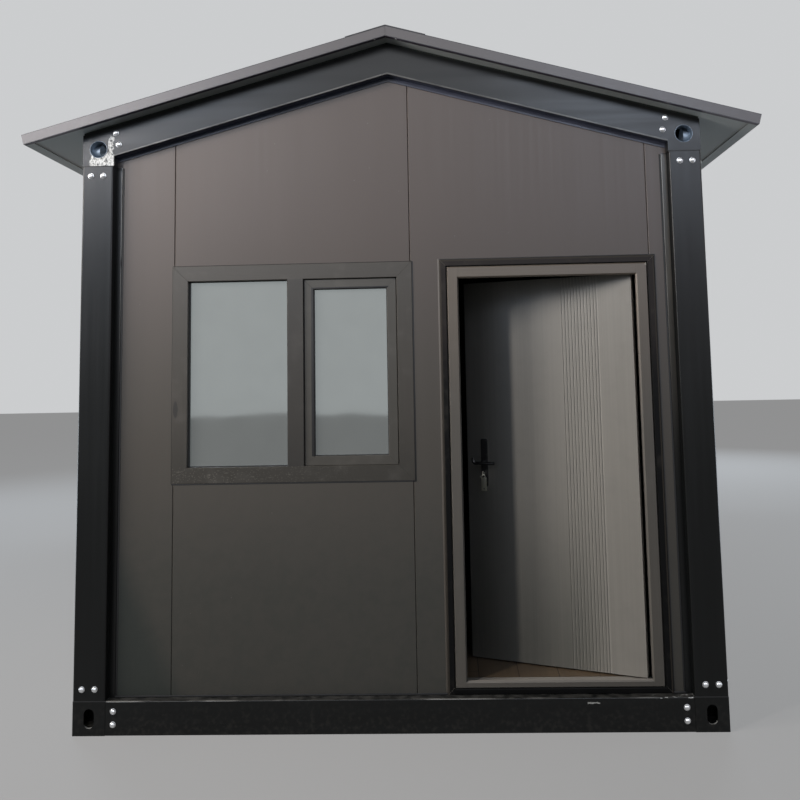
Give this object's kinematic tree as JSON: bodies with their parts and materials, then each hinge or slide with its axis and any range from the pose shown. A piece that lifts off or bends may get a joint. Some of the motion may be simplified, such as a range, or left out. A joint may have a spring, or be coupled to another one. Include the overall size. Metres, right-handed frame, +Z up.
{
  "type": "modular guesthouse",
  "caption": "Gable-roofed modular guesthouse on a bolted black steel frame, with sandwich-panel walls, a sliding window and an open door.",
  "frame": {"origin": "on the ground, in the middle of the footprint", "axes": "+X to the right along the gable front, +Y from the front into the depth, +Z up"},
  "size_m": [3.528, 6.14, 3.3002],
  "materials": {
    "frame_steel": "glossy black enamel over galvanised steel",
    "joist_steel": "grey primer",
    "wall_panel": "satin warm dark grey coated sheet",
    "dark_trim": "satin dark grey coated sheet",
    "door_aluminium": "satin grey powder coat",
    "door_leaf": "satin light grey coated sheet with fine grooves",
    "handle": "satin black",
    "hinge_steel": "zinc plated",
    "window_aluminium": "satin olive grey powder coat",
    "glass": "clear float glass",
    "roof_sheet": "satin grey coated sheet",
    "roof_trim": "satin dark grey coated sheet",
    "floor_deck": "tan floor board"
  },
  "bodies": {
    "house": {"base_castings": "frame_steel", "top_castings": "frame_steel", "post_front_left": "frame_steel", "post_front_right": "frame_steel", "post_back_left": "frame_steel", "post_back_right": "frame_steel", "base_beam_front": "frame_steel", "base_beam_back": "frame_steel", "base_beam_left": "frame_steel", "base_beam_right": "frame_steel", "eave_beam_left": "frame_steel", "eave_beam_right": "frame_steel", "rafter_front_left": "frame_steel", "rafter_front_right": "frame_steel", "rafter_back_left": "frame_steel", "rafter_back_right": "frame_steel", "ridge_beam": "frame_steel", "roof_seal": "dark_trim", "floor_joists": "joist_steel", "floor_deck": "floor_deck", "front_wall_left": "wall_panel", "front_wall_under_window": "wall_panel", "front_wall_over_window": "wall_panel", "front_wall_door_pier": "wall_panel", "front_wall_over_door": "wall_panel", "front_wall_right": "wall_panel", "back_wall_left": "wall_panel", "back_wall_under_window": "wall_panel", "back_wall_over_window": "wall_panel", "back_wall_middle": "wall_panel", "back_wall_right": "wall_panel", "left_wall": "wall_panel", "right_wall": "wall_panel", "door_trim": "dark_trim", "door_frame": "door_aluminium", "hinges_on_frame": "hinge_steel", "front_window_frame": "window_aluminium", "front_window_sash": "window_aluminium", "front_window_glass": "glass", "back_window_frame": "window_aluminium", "back_window_sash": "window_aluminium", "back_window_glass": "glass", "roof_left": "roof_sheet", "roof_right": "roof_sheet", "ridge_cap": "roof_trim", "verge_trim_front": "roof_trim", "verge_trim_back": "roof_trim", "eave_trim_left": "roof_trim", "eave_trim_right": "roof_trim"},
    "door": {"door_leaf": "door_leaf", "door_handle": "handle", "hinges_on_leaf": "hinge_steel"}
  },
  "joints": [
    {"name": "door_hinge", "type": "hinge", "parent": "house", "child": "door", "pos_m": [1.19, -2.84, 1.149], "axis": [0, 0, -1], "range_deg": [-21.5, 70]}
  ]
}
